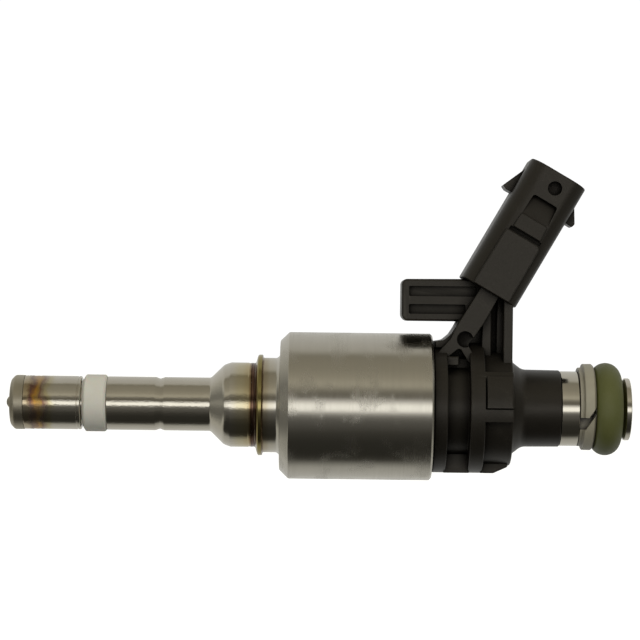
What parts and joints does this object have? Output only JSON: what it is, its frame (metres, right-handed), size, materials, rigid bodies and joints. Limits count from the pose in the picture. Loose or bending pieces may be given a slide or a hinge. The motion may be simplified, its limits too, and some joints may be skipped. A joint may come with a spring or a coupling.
{
  "type": "fuel injector",
  "caption": "Direct-injection fuel injector: slim nozzle, round solenoid housing, slanted two-pin plug socket, sealed fuel inlet and a needle that lifts.",
  "frame": {"origin": "on the injector's axis, in the plane of the solenoid housing's front shoulder", "axes": "+X along the injector towards the fuel inlet, +Z towards the plug socket, +Y to complete a right-handed frame"},
  "size_m": [0.0878, 0.0206, 0.0453],
  "materials": {
    "blasted_steel": "matt, fine blasted",
    "polished_steel": "fine turned, nearly polished",
    "satin_steel": "satin, fine turned lines",
    "tinted_steel": "turned, straw heat tint beside the weld",
    "hard_steel": "ground",
    "spring_steel": "drawn wire",
    "magnet_iron": "turned, plain",
    "tinned_copper": "tinned",
    "copper_wire": "enamelled wire",
    "white_seal": "matt, slightly waxy",
    "bobbin_plastic": "matt moulded",
    "black_plastic": "satin moulded, glass filled",
    "grey_plastic": "satin, grey-beige",
    "dark_plastic": "matt moulded",
    "green_rubber": "satin rubber, olive green",
    "filter_mesh": "woven, matt"
  },
  "bodies": {
    "root": {"valve_seat": "blasted_steel", "nozzle_tube": "polished_steel", "combustion_seal": "white_seal", "needle_guide": "hard_steel", "valve_housing": "tinted_steel", "solenoid_housing": "satin_steel", "spacer_ring": "polished_steel", "pole_core": "magnet_iron", "coil_bobbin": "bobbin_plastic", "coil_winding": "copper_wire", "yoke_cover": "magnet_iron", "return_spring": "spring_steel", "adjusting_tube": "polished_steel", "terminal_left": "tinned_copper", "terminal_right": "tinned_copper", "connector_overmold": "black_plastic", "inlet_tube": "polished_steel", "backup_ring": "grey_plastic", "inlet_o_ring": "green_rubber", "inlet_filter_frame": "dark_plastic", "inlet_filter_mesh": "filter_mesh"},
    "needle": {"needle_rod": "hard_steel", "valve_ball": "hard_steel", "needle_collar": "hard_steel", "lower_stop_ring": "hard_steel", "armature_damping_spring": "spring_steel"},
    "armature": {"armature": "magnet_iron"}
  },
  "joints": [
    {"name": "needle_lift", "type": "slide", "parent": "root", "child": "needle", "axis": [1, 0, 0], "range_m": [0, 0.00008], "stiffness_N_per_m": 20000, "deforming": ["return_spring"]},
    {"name": "armature_free_travel", "type": "slide", "parent": "needle", "child": "armature", "axis": [1, 0, 0], "range_m": [0, 0.00004], "stiffness_N_per_m": 2000, "deforming": ["armature_damping_spring"]}
  ]
}
